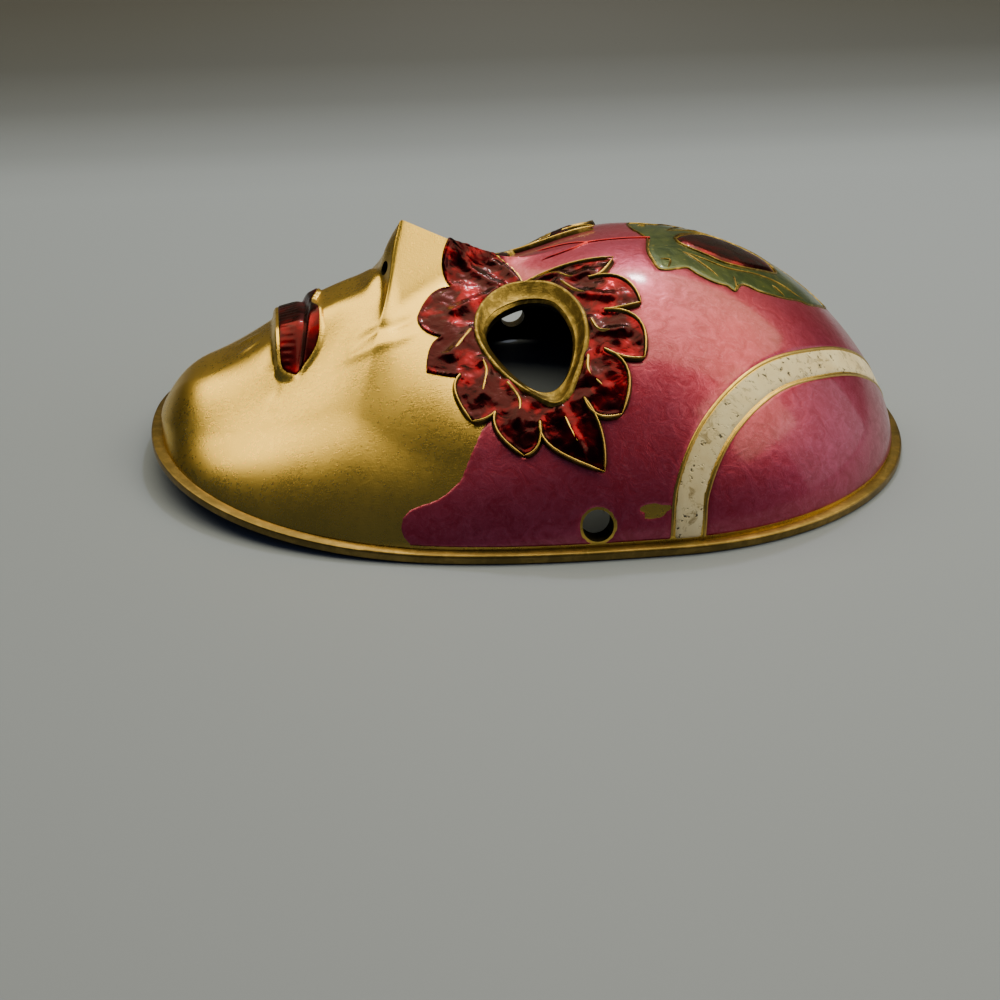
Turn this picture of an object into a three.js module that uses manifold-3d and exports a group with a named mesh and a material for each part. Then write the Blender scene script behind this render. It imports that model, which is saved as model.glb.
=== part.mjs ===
// Cast brass carnival mask, lying face up on its rim.
// Millimetres. +X runs from the chin to the forehead, +Y to the mask's left side, +Z up out of the face.
// The origin is the middle of the bounding box, on the surface that the rim rests on.

import * as THREE from 'three';
import { mergeVertices } from 'three/addons/utils/BufferGeometryUtils.js';
import Module from 'manifold-3d';

const wasm = await Module();
wasm.setup();

// Driving dimensions
const LENGTH = 170;
const WIDTH = 125;
const RIM_WIDTH = 2.4;
const RIM_THICKNESS = 2;
const WALL = 3;
const CHIN_LIFT = 5;
const CHIN_LIFT_FROM = -25;

// Outline: widest at WIDEST_X, rounder towards the forehead, fuller at the chin
const WIDEST_X = 20;
const OUTLINE_ACROSS = 2.15;
const OUTLINE_TOP = 2;
const OUTLINE_CHIN = 2.8;

// Dome of the face
const DOME_HEIGHT = 42.5;
const CREST_TOP = { outline: 2.2, power: 0.685 };
const CREST_CHIN = { outline: OUTLINE_CHIN, power: 0.83 };
const SECTION_CHIN = { roundness: 1.6, power: 0.9 };
const SECTION_TOP = { roundness: 2.15, power: 0.655 };
const SECTION_BLEND = { from: -60, over: 70 };

// Broad swellings (+) and hollows (-), each mirrored about the mid-plane
const FORMS = [
  { x: -4, y: 0, alongX: 13, alongY: 22, height: -2.2 },
  { x: -45, y: 0, alongX: 26, alongY: 60, height: -4.5 },
  { x: -6, y: 28, alongX: 15, alongY: 19.3, height: -7 },
  { x: -44.3, y: 0, alongX: 15.5, alongY: 10.5, height: 3.9 },
  { x: -62, y: 18, alongX: 14, alongY: 10, height: -1.2 },
  { x: -78.5, y: 0, alongX: 9, alongY: 16, height: 4 },
  { x: -34.3, y: 0, alongX: 2.4, alongY: 6, height: 1.6 },
  { x: -36, y: 16, alongX: 7, alongY: 11, height: 1.9 },
];

// Flat crown along the mid-plane of the chin and the upper lip, fading out towards the nose
const CROWN = { halfWidth: 6, flatness: 0.8, rounding: 0.5, endX: -83, endLength: 12, near: 11, fadeX: -31 };
const CROWN_FADE = { nearMiddle: 10, beside: 26 };

// Nose: a curved ridge between sloping flanks, cut off by a base that a septum thickens
const NOSE = {
  bridgeX: -4.6,
  bridgeZ: 40.6,
  tipX: -28.3,
  tipZ: 51.2,
  ridgeCurve: 1.15,
  flankSlope: 1.35,
  baseSlope: 3.3,
  edgeRounding: 1,
  footRounding: 2,
  baseFootRounding: 3.5,
};
const SEPTUM = { rise: 4.5, halfWidth: 5, run: 4 };

// Mouth: lower edge, parting and upper edge, each bowed towards the corners by its own power
const MOUTH = {
  halfWidth: 18.6,
  lowerX: -57.1,
  lowerCurve: 12,
  partingX: -49.4,
  partingCurve: 1.5,
  upperX: -45.5,
  upperCurve: 6.5,
  cornerX: -52.4,
  cornerFade: 5,
  bowDip: 1.6,
  bowHalfWidth: 3.4,
  lowerHeight: 2.5,
  upperHeight: 0.9,
  upperRun: 1.5,
  partingDepth: 0.5,
  partingHalfWidth: 0.9,
  shoulder: 0.9,
};

// Eye: the chart's plane touches the face at EYE_CENTRE, s towards the forehead and t towards the nose
const EYE_CENTRE = { x: -3.3, y: 27.2 };
const EYE_FORWARD = new THREE.Vector3(0.968, 0.093, 0.232);
const EYE_INWARD = new THREE.Vector3(0, -0.928, 0.373);
const HOLE_OUTLINE = [
  [-9.2, 3.5],
  [-7, 10.8],
  [-0.6, 14],
  [5.6, 10.8],
  [8, 1],
  [5.8, -8],
  [1.5, -12.2],
  [-3.6, -8.2],
];
const COLLAR_OUTLINE = [
  [-10.9, 5.5],
  [-8.6, 13.6],
  [-2.4, 18.9],
  [5.5, 16.9],
  [10.4, 8.8],
  [11.2, -0.5],
  [7.8, -10],
  [2.6, -16.8],
  [-3.2, -11.8],
  [-8.6, -3.2],
];
const EYE_CUT = { segments: 30, depth: 0.5, clearance: 0.2, reach: 11 };

// Leaves of the rosette around the eye, as (s, t): the notch before each leaf, its belly, tip and back
const LEAVES = [
  { notch: [0.6, 18.6], belly: [-3.2, 27.6], tip: [-13.1, 29.9], back: [-15.8, 25.1] },
  { notch: [-14.7, 19.9], belly: [-19, 18.2], tip: [-22.7, 11.6], back: [-21.8, 7.8] },
  { notch: [-18.5, 5.1], belly: [-21, 2.5], tip: [-22.5, -3.5], back: [-18.6, -5.3] },
  { notch: [-15.9, -5.9], belly: [-17.3, -10.2], tip: [-15.1, -17.2], back: [-12.5, -17.1] },
  { notch: [-10.3, -15.9], belly: [-10.4, -20.6], tip: [-6.4, -26], back: [-3.2, -24.5] },
  { notch: [-1.9, -19.8], belly: [-0.5, -25.6], tip: [8.2, -31.1], back: [9.4, -23.9] },
  { notch: [7.7, -16.9], belly: [9.5, -20.9], tip: [14.1, -21.4], back: [17.3, -13] },
  { notch: [13.9, -6.7], belly: [17.3, -9.5], tip: [21.1, -10.3], back: [22, -1.1] },
  { notch: [15.8, 3.6], belly: [19.1, 3.2], tip: [23.3, 3.7], back: [21, 11.9] },
  { notch: [14.3, 14.5], belly: [17.3, 15.4], tip: [20.3, 20], back: [9.4, 20.8] },
];
const STEPS_PER_FLANK = 4;
const ROSETTE = {
  collarHeight: 1.2,
  leafEdgeWidth: 0.9,
  leafEdgeHeight: 1.1,
  leafFieldHeight: 0.45,
  veinHeight: 0.95,
  hubShare: 0.6,
  footDepth: 2,
};

// Holes through the wall
const TEMPLE_HOLE = { x: 4.4, y: 59, z: 6.1, radius: 3.1, length: 14, sides: 16 };
const NOSTRIL = { x: -31.2, y: 3.8, z: 43.2, radius: 1.6, length: 10, sides: 10 };

// The hollow behind the nose is a plainer nose, set deeper than the wall
const NOSE_HOLLOW = { inset: 2, edgeRounding: 4 };

// Fineness of the grids, with more stations about the nose and the mouth
const FACE_ROWS = 58;
const FACE_COLUMNS = 32;
const HOLLOW_ROWS = 24;
const HOLLOW_COLUMNS = 16;
const RIM_ROWS = 48;
const CROWDED = [
  { x: -31, spread: 5, weight: 2.6 },
  { x: -51, spread: 7, weight: 1.1 },
];
const WELD = 1e-4;

const topLength = LENGTH / 2 - WIDEST_X - RIM_WIDTH;
const chinLength = LENGTH / 2 + WIDEST_X - RIM_WIDTH;
const halfWidth = WIDTH / 2 - RIM_WIDTH;

const mix = (a, b, t) => a + (b - a) * t;
const clamp = (value, low, high) => Math.min(high, Math.max(low, value));
const smoothStep = (t) => clamp(t, 0, 1) ** 2 * (3 - 2 * clamp(t, 0, 1));
const softMax = (a, b, rounding) => (a + b + Math.hypot(a - b, rounding)) / 2;
const softMin = (a, b, rounding) => (a + b - Math.hypot(a - b, rounding)) / 2;

// How far x lies from the widest section, 0 there and 1 at the chin or the top
function reach(x, margin = 0) {
  return x > WIDEST_X ? (x - WIDEST_X) / (topLength + margin) : (WIDEST_X - x) / (chinLength + margin);
}

// Half width of the outline at x, widened by a margin
function outlineHalfWidth(x, margin = 0) {
  const power = x > WIDEST_X ? OUTLINE_TOP : OUTLINE_CHIN;
  const left = Math.max(0, 1 - reach(x, margin) ** power);
  return (halfWidth + margin) * left ** (1 / OUTLINE_ACROSS);
}

// The rim curves up from the surface below the chin
function rimLift(x) {
  const span = LENGTH / 2 + CHIN_LIFT_FROM;
  return CHIN_LIFT * clamp((CHIN_LIFT_FROM - x) / span, 0, 1) ** 2;
}

function swelling(x, y, form) {
  const alongX = (x - form.x) / form.alongX;
  const alongY = (Math.abs(y) - form.y) / form.alongY;
  return form.height * Math.exp(-alongX * alongX - alongY * alongY);
}

function noseHeight(x, y, edgeRounding = NOSE.edgeRounding) {
  const rise = Math.min(1.3, (NOSE.bridgeX - x) / (NOSE.bridgeX - NOSE.tipX));
  const curved = Math.sign(rise) * Math.abs(rise) ** NOSE.ridgeCurve;
  const flank = mix(NOSE.bridgeZ, NOSE.tipZ, curved) - NOSE.flankSlope * Math.abs(y);
  const septum = SEPTUM.rise * Math.exp(-((y / SEPTUM.halfWidth) ** 2)) * smoothStep((NOSE.tipX - x) / SEPTUM.run);
  const underside = NOSE.tipZ + NOSE.baseSlope * (x - NOSE.tipX) + septum;
  return softMin(flank, underside, edgeRounding);
}

// Lips: the lower one stands highest at its edge and slopes in to the parting, the upper one is low
function lipHeight(x, y) {
  const across = Math.abs(y) / MOUTH.halfWidth;
  if (across >= 1) {
    return 0;
  }
  const lower = mix(MOUTH.lowerX, MOUTH.cornerX, across ** MOUTH.lowerCurve);
  const dip = MOUTH.bowDip * Math.exp(-((y / MOUTH.bowHalfWidth) ** 2));
  const upper = mix(MOUTH.upperX, MOUTH.cornerX, across ** MOUTH.upperCurve) - dip;
  const parting = mix(MOUTH.partingX, MOUTH.cornerX, across ** MOUTH.partingCurve);
  const band = smoothStep((x - lower) / MOUTH.shoulder) * smoothStep((upper - x) / MOUTH.shoulder);
  const slope = clamp((parting - x) / Math.max(0.5, parting - lower), 0, 1);
  const rise = MOUTH.upperHeight * smoothStep((x - parting) / MOUTH.upperRun);
  const groove = MOUTH.partingDepth * Math.exp(-(((x - parting) / MOUTH.partingHalfWidth) ** 2)) * band;
  return band * (MOUTH.lowerHeight * slope + rise - groove) * (1 - across ** MOUTH.cornerFade);
}

// |y|, drawn in towards the mid-plane where the crown is flat
function offCrown(x, y) {
  const away = Math.abs(y);
  const near = Math.exp(-((away / CROWN.near) ** 2));
  const beside = smoothStep((CROWN.fadeX - x) / CROWN_FADE.beside);
  const fade = mix(beside, smoothStep((CROWN.fadeX + 1 - x) / CROWN_FADE.nearMiddle), near);
  const width = CROWN.halfWidth * smoothStep((x - CROWN.endX) / CROWN.endLength) * fade;
  const across = Math.min(1, away / Math.max(WELD, outlineHalfWidth(x)));
  const drawn = CROWN.flatness * softMin(away, width, CROWN.rounding) * (1 - across);
  return Math.max(0, away - Math.max(0, drawn));
}

// Height of the dome over the point (x, side), without nose and lips
function domeHeight(x, side) {
  const y = offCrown(x, side);
  const crest = x > WIDEST_X ? CREST_TOP : CREST_CHIN;
  const height = DOME_HEIGHT * Math.max(0, 1 - reach(x) ** crest.outline) ** crest.power;
  const blend = smoothStep((x - SECTION_BLEND.from) / SECTION_BLEND.over);
  const roundness = mix(SECTION_CHIN.roundness, SECTION_TOP.roundness, blend);
  const power = mix(SECTION_CHIN.power, SECTION_TOP.power, blend);
  const across = Math.min(1, Math.abs(y) / Math.max(WELD, outlineHalfWidth(x)));
  let z = RIM_THICKNESS + rimLift(x) + height * Math.max(0, 1 - across ** roundness) ** power;
  const edgeFade = smoothStep((1 - across) * mix(2.2, 6, smoothStep((x + 45) / 30)));
  for (const form of FORMS) {
    z += swelling(x, y, form) * edgeFade;
  }
  return z;
}

function faceHeight(x, y) {
  const atBase = smoothStep((NOSE.tipX - 1 - x) / 4) * smoothStep((Math.abs(y) - 3) / 5);
  const rounding = mix(NOSE.footRounding, NOSE.baseFootRounding, atBase);
  return softMax(domeHeight(x, y), noseHeight(x, y), rounding);
}

// The hollow follows the face drawn in by the wall, from an outline smaller by the same
function hollowHeight(x, y) {
  const length = x > WIDEST_X ? topLength : chinLength;
  const outerX = WIDEST_X + ((x - WIDEST_X) * length) / (length - WALL);
  const outerY = (y * halfWidth) / (halfWidth - WALL);
  const nose = noseHeight(x, y, NOSE_HOLLOW.edgeRounding) - NOSE_HOLLOW.inset;
  return softMax(domeHeight(outerX, outerY), nose, NOSE.footRounding) - WALL;
}

function outerHeight(x, y) {
  const floor = RIM_THICKNESS + rimLift(x);
  return Math.max(floor, faceHeight(x, y) + lipHeight(x, y));
}

// Stations along the mask, close together at both ends and at the crowded places
function stations(count, margin) {
  const start = WIDEST_X - chinLength - margin;
  const end = WIDEST_X + topLength + margin;
  const middle = (start + end) / 2;
  const half = (end - start) / 2;
  const samples = 4000;
  const sums = [0];
  const places = [start];
  for (let k = 1; k <= samples; k += 1) {
    const x = middle - half * Math.cos((k / samples) * Math.PI);
    let extra = 0;
    for (const place of CROWDED) {
      extra += place.weight * Math.exp(-(((x - place.x) / place.spread) ** 2));
    }
    sums.push(sums[k - 1] + 1 + extra);
    places.push(x);
  }
  const wanted = (i) => (sums[samples] * i) / count;
  return Array.from({ length: count + 1 }, (_, i) => places[sums.findIndex((sum) => sum >= wanted(i) - WELD)]);
}

// Columns across the mask, closer together at the mid-plane and at the rim
function columnShare(share) {
  const across = 2 * share - 1;
  return 0.62 * Math.sin((across * Math.PI) / 2) + 0.38 * across ** 3;
}

// Closed solid between an upper and a lower grid of points
function solidBetween(rows, columns, upper, lower, wraps = false) {
  const positions = [];
  const index = [];
  const rowCount = wraps ? rows : rows + 1;
  for (const layer of [upper, lower]) {
    for (let i = 0; i < rowCount; i += 1) {
      for (let j = 0; j <= columns; j += 1) {
        positions.push(...layer(i, j).toArray());
      }
    }
  }
  const at = (layer, i, j) => (layer * rowCount + (i % rowCount)) * (columns + 1) + j;
  const quad = (a, b, c, d) => index.push(a, b, c, a, c, d);
  for (let i = 0; i < rows; i += 1) {
    for (let j = 0; j < columns; j += 1) {
      quad(at(0, i, j), at(0, i + 1, j), at(0, i + 1, j + 1), at(0, i, j + 1));
      quad(at(1, i, j), at(1, i, j + 1), at(1, i + 1, j + 1), at(1, i + 1, j));
    }
    quad(at(0, i, 0), at(1, i, 0), at(1, i + 1, 0), at(0, i + 1, 0));
    quad(at(0, i, columns), at(0, i + 1, columns), at(1, i + 1, columns), at(1, i, columns));
  }
  if (!wraps) {
    for (let j = 0; j < columns; j += 1) {
      quad(at(0, 0, j), at(0, 0, j + 1), at(1, 0, j + 1), at(1, 0, j));
      quad(at(0, rows, j), at(1, rows, j), at(1, rows, j + 1), at(0, rows, j + 1));
    }
  }
  const geometry = new THREE.BufferGeometry();
  geometry.setAttribute('position', new THREE.Float32BufferAttribute(positions, 3));
  geometry.setIndex(index);
  return geometry;
}

// Six times the enclosed volume, negative when the faces point inwards
function signedVolume(position, triangles) {
  const a = new THREE.Vector3();
  const b = new THREE.Vector3();
  const c = new THREE.Vector3();
  let total = 0;
  for (let i = 0; i < triangles.length; i += 3) {
    a.fromBufferAttribute(position, triangles[i]);
    b.fromBufferAttribute(position, triangles[i + 1]);
    c.fromBufferAttribute(position, triangles[i + 2]);
    total += a.dot(b.cross(c));
  }
  return total;
}

// A closed geometry as a solid: vertices welded, empty triangles dropped, faces pointing out
function toSolid(geometry) {
  geometry.deleteAttribute('normal');
  geometry.deleteAttribute('uv');
  const welded = mergeVertices(geometry, WELD);
  const position = welded.getAttribute('position');
  const triangles = [];
  for (let i = 0; i < welded.index.count; i += 3) {
    const [a, b, c] = [0, 1, 2].map((k) => welded.index.getX(i + k));
    if (a !== b && b !== c && c !== a) {
      triangles.push(a, b, c);
    }
  }
  if (signedVolume(position, triangles) < 0) {
    triangles.reverse();
  }
  const vertProperties = new Float32Array(position.array);
  const triVerts = new Uint32Array(triangles);
  return new wasm.Manifold(new wasm.Mesh({ numProp: 3, vertProperties, triVerts }));
}

function toGeometry(solid) {
  const mesh = solid.getMesh();
  const geometry = new THREE.BufferGeometry();
  geometry.setAttribute('position', new THREE.Float32BufferAttribute(mesh.vertProperties, 3));
  geometry.setIndex(Array.from(mesh.triVerts));
  return geometry;
}

// The face as a full body, its underside hidden inside the rim
function faceSolid() {
  const along = stations(FACE_ROWS, 0);
  const layer = (height) => (i, j) => {
    const x = along[i];
    const y = columnShare(j / FACE_COLUMNS) * outlineHalfWidth(x);
    return new THREE.Vector3(x, y, height(x, y));
  };
  const insideRim = (x) => rimLift(x) + RIM_THICKNESS / 2;
  return toSolid(solidBetween(FACE_ROWS, FACE_COLUMNS, layer(outerHeight), layer(insideRim)));
}

// The flat rim around the face
function rimSolid() {
  const along = stations(RIM_ROWS, RIM_WIDTH);
  const layer = (height) => (i, j) => {
    const x = along[i];
    const y = (2 * j - 1) * outlineHalfWidth(x, RIM_WIDTH);
    return new THREE.Vector3(x, y, rimLift(x) + height);
  };
  return toSolid(solidBetween(RIM_ROWS, 1, layer(RIM_THICKNESS), layer(0)));
}

// The hollow behind the face, open below
function hollowSolid() {
  const along = stations(HOLLOW_ROWS, -WALL);
  const layer = (height) => (i, j) => {
    const x = along[i];
    const y = columnShare(j / HOLLOW_COLUMNS) * outlineHalfWidth(x, -WALL);
    return new THREE.Vector3(x, y, height(x, y));
  };
  const below = () => -2 * WALL;
  return toSolid(solidBetween(HOLLOW_ROWS, HOLLOW_COLUMNS, layer(hollowHeight), layer(below)));
}

// Axes of the eye's plane on the side of the given sign
function eyeAxes(side) {
  const mirror = new THREE.Vector3(1, side, 1);
  const forward = EYE_FORWARD.clone().multiply(mirror);
  const inward = EYE_INWARD.clone().multiply(mirror);
  const outward = new THREE.Vector3().crossVectors(forward, inward).multiplyScalar(-side).normalize();
  const centreZ = faceHeight(EYE_CENTRE.x, EYE_CENTRE.y);
  const centre = new THREE.Vector3(EYE_CENTRE.x, side * EYE_CENTRE.y, centreZ);
  return { centre, forward, inward, outward };
}

// Point of the face under (s, t) of the eye's plane, raised by a height square to that plane
function onFace(axes, s, t, height) {
  const flat = axes.centre.clone().addScaledVector(axes.forward, s).addScaledVector(axes.inward, t);
  const point = flat.clone();
  for (let pass = 0; pass < 24; pass += 1) {
    const miss = faceHeight(point.x, point.y) - point.z;
    point.addScaledVector(axes.outward, 0.6 * miss);
  }
  return point.addScaledVector(axes.outward, height);
}

// Radius of a closed outline about the chart's centre in a direction, from finely spaced points
function radiusFinder(outline) {
  const curve = new THREE.CatmullRomCurve3(
    outline.map(([s, t]) => new THREE.Vector3(s, t, 0)),
    true,
  );
  const points = curve.getPoints(400);
  return (angle) => {
    const away = (point) => Math.abs(Math.sin((Math.atan2(point.y, point.x) - angle) / 2));
    return points.reduce((a, b) => (away(a) < away(b) ? a : b)).length();
  };
}
const holeRadius = radiusFinder(HOLE_OUTLINE);
const collarRadius = radiusFinder(COLLAR_OUTLINE);

// Points from start towards end on a curve that passes through the middle point, without its end
function flankPoints(start, middle, end) {
  const [from, through, to] = [start, middle, end].map(([s, t]) => new THREE.Vector2(s, t));
  const control = through.multiplyScalar(2).addScaledVector(from, -0.5).addScaledVector(to, -0.5);
  return new THREE.QuadraticBezierCurve(from, control, to).getPoints(STEPS_PER_FLANK).slice(0, -1);
}

// Spokes of the rosette: points of the outline, each with the direction of its foot on the collar
function rosetteSpokes() {
  const fullTurn = 2 * Math.PI;
  const direction = ([s, t]) => Math.atan2(t, s);
  return LEAVES.flatMap(({ notch, belly, tip, back }, k) => {
    const following = LEAVES[(k + 1) % LEAVES.length].notch;
    const points = [...flankPoints(notch, belly, tip), ...flankPoints(tip, back, following)];
    const from = direction(notch);
    const turn = (direction(following) - from + fullTurn) % fullTurn;
    return points.map((outer, i) => ({
      outer,
      angle: from + (turn * i) / points.length,
      crest: i % STEPS_PER_FLANK === 0,
    }));
  });
}

// Leaves with raised edges and veins, inside them the smooth collar of the eye
function rosetteSolid(side) {
  const axes = eyeAxes(side);
  const profile = rosetteSpokes().map(({ outer, angle, crest }) => {
    const inward = new THREE.Vector2(Math.cos(angle), Math.sin(angle));
    const collar = inward.clone().multiplyScalar(collarRadius(angle));
    const hub = collar.clone().multiplyScalar(ROSETTE.hubShare);
    const length = outer.distanceTo(collar);
    const width = ROSETTE.leafEdgeWidth;
    const from = (distance) => outer.clone().lerp(collar, distance / length);
    const field = crest ? ROSETTE.veinHeight : ROSETTE.leafFieldHeight;
    return [
      { point: outer, height: ROSETTE.leafEdgeHeight },
      { point: from(Math.min(width, 0.3 * length)), height: ROSETTE.leafEdgeHeight },
      { point: from(Math.min(1.5 * width, 0.45 * length)), height: field },
      { point: from(0.6 * length), height: field },
      { point: from(length - Math.min(width / 2, 0.2 * length)), height: field },
      { point: collar, height: ROSETTE.collarHeight },
      { point: hub, height: ROSETTE.collarHeight },
    ];
  });
  const at = (i, j) => profile[i][j].point;
  const upper = (i, j) => onFace(axes, at(i, j).x, at(i, j).y, profile[i][j].height);
  const lower = (i, j) => onFace(axes, at(i, j).x, at(i, j).y, -ROSETTE.footDepth);
  return toSolid(solidBetween(profile.length, profile[0].length - 1, upper, lower, true));
}

// Cutter for one eye: a bezel sloping in from the collar's crest, then straight through the wall
function eyeCutter(side) {
  const axes = eyeAxes(side);
  const along = (point, distance) => point.clone().addScaledVector(axes.outward, distance);
  const around = (angle, radius, height) => onFace(axes, radius * Math.cos(angle), radius * Math.sin(angle), height);
  const sections = Array.from({ length: EYE_CUT.segments }, (_, i) => {
    const angle = (i / EYE_CUT.segments) * 2 * Math.PI;
    const mouth = around(angle, collarRadius(angle), ROSETTE.collarHeight + EYE_CUT.clearance);
    const throat = around(angle, holeRadius(angle), -EYE_CUT.depth);
    const top = along(axes.centre, EYE_CUT.reach);
    const bottom = along(axes.centre, -EYE_CUT.reach);
    return {
      upper: [mouth, along(mouth, EYE_CUT.reach), top, top],
      lower: [mouth, throat, along(throat, -EYE_CUT.reach), bottom],
    };
  });
  const upper = (i, j) => sections[i].upper[j];
  const lower = (i, j) => sections[i].lower[j];
  return toSolid(solidBetween(EYE_CUT.segments, 3, upper, lower, true));
}

// Round cutter of a length, along a direction through a point
function roundCutter(point, direction, radius, length, sides) {
  const geometry = new THREE.CylinderGeometry(radius, radius, length, sides);
  const turn = new THREE.Quaternion().setFromUnitVectors(new THREE.Vector3(0, 1, 0), direction);
  geometry.applyQuaternion(turn);
  geometry.translate(point.x, point.y, point.z);
  return toSolid(geometry);
}

function templeCutter(side) {
  const point = new THREE.Vector3(TEMPLE_HOLE.x, side * TEMPLE_HOLE.y, TEMPLE_HOLE.z);
  return roundCutter(point, new THREE.Vector3(0, 1, 0), TEMPLE_HOLE.radius, TEMPLE_HOLE.length, TEMPLE_HOLE.sides);
}

function nostrilCutter(side) {
  const point = new THREE.Vector3(NOSTRIL.x, side * NOSTRIL.y, NOSTRIL.z);
  const direction = new THREE.Vector3(NOSE.baseSlope, 0, -1).normalize();
  return roundCutter(point, direction, NOSTRIL.radius, NOSTRIL.length, NOSTRIL.sides);
}

function maskSolid() {
  let solid = faceSolid().add(rimSolid());
  for (const side of [-1, 1]) {
    solid = solid.add(rosetteSolid(side));
  }
  solid = solid.subtract(hollowSolid());
  for (const side of [-1, 1]) {
    solid = solid.subtract(eyeCutter(side)).subtract(templeCutter(side)).subtract(nostrilCutter(side));
  }
  return solid;
}

function maskMesh() {
  const brass = new THREE.MeshStandardMaterial({ color: 0xb79a58, metalness: 1, roughness: 0.35 });
  const mesh = new THREE.Mesh(toGeometry(maskSolid()), brass);
  mesh.name = 'mask';
  return mesh;
}

const model = new THREE.Group();
model.add(maskMesh());

export default model;
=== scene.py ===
"""Looks of the enamelled brass mask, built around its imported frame.

Sizes are in millimetres: +X runs from the chin to the forehead, +Y to the mask's left side,
+Z up out of the face. MM turns them into metres, and FAR stands for a distance that is far off.
"""

import math

import bpy
import numpy as np
from mathutils import Matrix, Vector


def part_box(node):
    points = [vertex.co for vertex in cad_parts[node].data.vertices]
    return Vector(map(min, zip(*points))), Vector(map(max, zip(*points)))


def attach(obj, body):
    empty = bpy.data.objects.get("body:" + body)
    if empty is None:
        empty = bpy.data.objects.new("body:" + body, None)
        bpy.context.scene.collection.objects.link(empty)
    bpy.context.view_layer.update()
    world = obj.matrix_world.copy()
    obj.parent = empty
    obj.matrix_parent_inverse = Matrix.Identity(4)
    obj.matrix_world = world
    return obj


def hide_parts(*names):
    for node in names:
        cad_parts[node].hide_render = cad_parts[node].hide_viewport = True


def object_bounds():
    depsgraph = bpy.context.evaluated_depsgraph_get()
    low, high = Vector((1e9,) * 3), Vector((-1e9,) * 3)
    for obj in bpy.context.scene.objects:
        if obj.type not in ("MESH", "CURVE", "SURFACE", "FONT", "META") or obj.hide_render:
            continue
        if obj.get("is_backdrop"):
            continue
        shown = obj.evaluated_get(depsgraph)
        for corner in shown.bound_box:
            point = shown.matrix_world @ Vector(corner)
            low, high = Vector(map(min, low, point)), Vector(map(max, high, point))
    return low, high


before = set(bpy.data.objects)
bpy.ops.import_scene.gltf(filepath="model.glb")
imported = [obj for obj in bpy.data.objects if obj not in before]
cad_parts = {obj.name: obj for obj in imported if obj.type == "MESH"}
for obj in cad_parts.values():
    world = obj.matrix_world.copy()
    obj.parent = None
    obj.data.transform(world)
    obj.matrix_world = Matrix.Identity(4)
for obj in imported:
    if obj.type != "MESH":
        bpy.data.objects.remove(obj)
cad_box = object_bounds()

MM = 0.001
FAR = 5.0
low_corner, high_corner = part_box("mask")
LENGTH = (high_corner.x - low_corner.x) / MM
WIDTH = (high_corner.y - low_corner.y) / MM

# Share of the half width up to which pieces on the face are kept inside its edge
INSIDE_EDGE = 0.9995

# Wall, rim and outline
RIM_WIDTH = 2.4
RIM_THICKNESS = 2.0
RIM_BEVEL = 0.35
WALL = 3.0
CHIN_LIFT = 5.0
CHIN_LIFT_FROM = -25.0
WIDEST_X = 20.0
OUTLINE_ACROSS = 2.15
OUTLINE_TOP = 2.0
OUTLINE_CHIN = 2.8
TOP_LENGTH = LENGTH / 2 - WIDEST_X - RIM_WIDTH
CHIN_LENGTH = LENGTH / 2 + WIDEST_X - RIM_WIDTH
HALF_WIDTH = WIDTH / 2 - RIM_WIDTH

# Dome of the face: its height, and exponents of its crest and of its sections. A pair that
# eased() takes, here and below, is a start and a length.
DOME_HEIGHT = 42.5
CREST_TOP = (2.2, 0.685)
CREST_CHIN = (OUTLINE_CHIN, 0.83)
SECTION_CHIN = (1.6, 0.9)
SECTION_TOP = (2.15, 0.655)
SECTION_BLEND = (-60, 70)

# Broad swellings (+) and hollows (-): x, |y|, reach along x and y, height. They fade out at the
# edge of the face, over a shorter way at its top than at its chin.
FORMS = (
    (-4, 0, 13, 22, -2.2),
    (-45, 0, 26, 60, -4.5),
    (-6, 28, 15, 19.3, -7),
    (-44.3, 0, 15.5, 10.5, 3.9),
    (-62, 18, 14, 10, -1.2),
    (-78.5, 0, 9, 16, 4),
    (-34.3, 0, 2.4, 6, 1.6),
    (-36, 16, 7, 11, 1.9),
)
FORMS_FADE_CHIN = 2.2
FORMS_FADE_TOP = 6.0
FORMS_FADE_BLEND = (-45, 30)

# Nose
BRIDGE_X = -4.6
BRIDGE_Z = 40.6
TIP_X = -28.3
TIP_Z = 51.2
RIDGE_CURVE = 1.15
RIDGE_END = 1.3
FLANK_SLOPE = 1.35
BASE_SLOPE = 3.3
SEPTUM_RISE = 4.5
SEPTUM_HALF_WIDTH = 5.0
SEPTUM_RUN = (TIP_X, -4)
NOSE_EDGE_ROUNDING = 1.0
NOSE_FOOT_ROUNDING = 2.0
BASE_FOOT_ROUNDING = 3.5
BASE_FOOT_ALONG = (TIP_X - 1, -4)
BASE_FOOT_ACROSS = (3, 5)
NOSE_HOLLOW_ROUNDING = 4.0
NOSE_HOLLOW_INSET = 2.0
NOSTRIL = {"x": -31.8, "y": 3.4, "z": 41.4, "radius": 1.6, "length": 10}

# Mouth: lower edge, parting and upper edge, bowed towards the corners
MOUTH_HALF_WIDTH = 18.6
MOUTH_LOWER_X = -57.1
MOUTH_PARTING_X = -49.4
MOUTH_UPPER_X = -45.5
MOUTH_CORNER_X = -52.4
LOWER_EDGE_CURVE = 12.0
UPPER_EDGE_CURVE = 6.5
PARTING_CURVE = 1.5
MOUTH_BOW_DIP = 1.6
MOUTH_BOW_HALF_WIDTH = 3.4
LOWER_LIP_HEIGHT = 2.5
UPPER_LIP_HEIGHT = 0.9
UPPER_LIP_SHOULDER = 1.5
LIP_CORNER_FADE = 5
PARTING_DEPTH = 0.5
PARTING_HALF_WIDTH = 0.9
LIP_SHOULDER = 0.9
LIP_BORDER = 0.9
LIP_STEP = 0.6

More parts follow.
